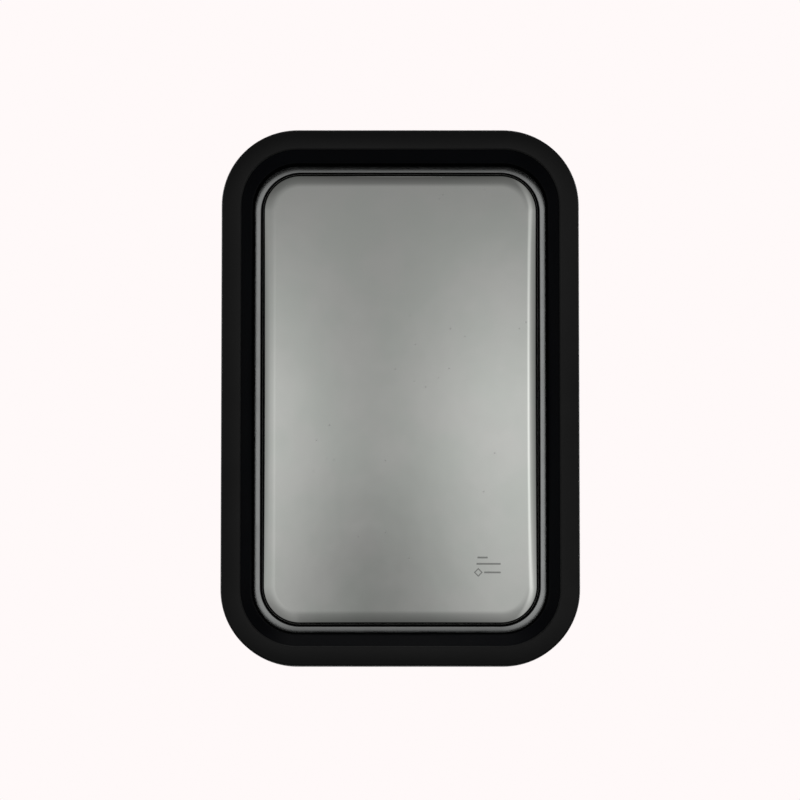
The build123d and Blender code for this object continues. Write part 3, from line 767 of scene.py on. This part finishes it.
def make_world():
    """White to the camera. To everything else, a soft studio with the tones above."""
    world = bpy.data.worlds.new("studio")
    world.use_nodes = True
    bpy.context.scene.world = world
    world.node_tree.nodes.clear()
    tree = Tree(world.node_tree)
    way = tree.add("ShaderNodeTexCoord").outputs["Generated"]
    x, y, z = tree.add("ShaderNodeSeparateXYZ", {"Vector": way}).outputs
    turn = tree.math("ARCTAN2", x, tree.math("MULTIPLY", y, -1.0))
    rise = tree.add("ShaderNodeMapRange", {"Value": z, "From Min": -1.0, "From Max": 1.0}).outputs[0]
    middle = tree.ramp(rise, by_height(MIDDLE_TONES))
    beside = tree.ramp(rise, by_height(BESIDE_TONES))
    away = tree.math("ABSOLUTE", tree.math("SUBTRACT", turn, radians(MIDDLE_BEARING)))
    front = tree.mix(tree.spread(away, 0.0, radians(MIDDLE_SPREAD)), middle, beside)
    bearing = tree.add("ShaderNodeMapRange", {"Value": turn, "From Min": -pi, "From Max": pi}).outputs[0]
    around = tree.ramp(bearing, [((degrees + 180) / 360, tone) for degrees, tone in BEARING_TONES])
    total = tree.add("ShaderNodeVectorMath", {0: front, 1: around}, operation="MULTIPLY")
    seen = tree.add("ShaderNodeBackground", {"Color": BACKDROP_WHITE, "Strength": 1.0})
    lit = tree.add("ShaderNodeBackground", {"Color": total.outputs[0], "Strength": 1.0})
    choose = tree.add("ShaderNodeMixShader")
    tree.put(choose.inputs[0], tree.add("ShaderNodeLightPath").outputs["Is Camera Ray"])
    tree.put(choose.inputs[1], lit)
    tree.put(choose.inputs[2], seen)
    tree.add("ShaderNodeOutputWorld", {"Surface": choose})


def make_floor():
    """A plain pale floor well below the mirror, which meets the backdrop without a hard edge."""
    bm = bmesh.new()
    bmesh.ops.create_grid(bm, x_segments=1, y_segments=1, size=FLOOR_HALF)
    mesh = bpy.data.meshes.new("floor")
    bm.to_mesh(mesh)
    bm.free()
    material, tree, shader, place = new_material("floor_paint")
    tree.put(shader.inputs["Base Color"],
             tree.mix(tree.noise(place, 3.0), (0.80, 0.78, 0.77, 1.0), (0.86, 0.84, 0.83, 1.0)))
    shader.inputs["Roughness"].default_value = 0.9
    shader.inputs["Emission Color"].default_value = BACKDROP_WHITE
    shader.inputs["Emission Strength"].default_value = 0.5
    mesh.materials.append(material)
    floor = bpy.data.objects.new("floor", mesh)
    floor.location = (0.0, 0.0, FLOOR_Z)
    floor.visible_glossy = False
    floor.visible_diffuse = False
    bpy.context.scene.collection.objects.link(floor)


def make_light(name, place, aim, size, power, glossy):
    """A soft area light that the camera doesn't see. Only glossy ones show in reflections."""
    light = bpy.data.lights.new(name, "AREA")
    light.shape = "RECTANGLE"
    light.size, light.size_y = size
    light.energy = power
    lamp = bpy.data.objects.new(name, light)
    lamp.location = place
    lamp.rotation_euler = (Vector(aim) - Vector(place)).to_track_quat("-Z", "Y").to_euler()
    lamp.visible_camera = False
    lamp.visible_glossy = glossy
    bpy.context.scene.collection.objects.link(lamp)


def make_camera():
    """A long lens in front of the mirror, a few degrees below it, aimed near the frame's middle."""
    data = bpy.data.cameras.new("camera")
    data.lens = CAMERA_LENS
    data.sensor_width = CAMERA_SENSOR
    data.clip_end = CAMERA_CLIP
    camera = bpy.data.objects.new("camera", data)
    aim = Vector((CAMERA_AIM_X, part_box("outer_frame")[0].y, CAMERA_AIM_Z))
    below = radians(CAMERA_BELOW)
    camera.location = aim + Vector((0.0, -cos(below), -sin(below))) * CAMERA_DISTANCE
    camera.rotation_euler = (aim - camera.location).to_track_quat("-Z", "Y").to_euler()
    bpy.context.scene.collection.objects.link(camera)
    bpy.context.scene.camera = camera


make_world()
make_floor()
make_light("overhead", (0.0, 1.0, 2.2), (0.0, 0.3, -1.1), (2.4, 2.0), 75.0, False)
make_light("back_fill", (0.9, 2.6, 0.9), (0.0, 0.0, 0.0), (2.2, 2.2), 60.0, True)
make_light("left_fill", (-2.4, 0.6, 0.5), (0.0, -0.15, 0.0), (1.0, 2.0), 30.0, True)
make_light("right_fill", (2.4, 0.6, 0.5), (0.0, -0.15, 0.0), (1.0, 2.0), 30.0, True)
make_camera()
bpy.context.scene.view_settings.view_transform = "Standard"
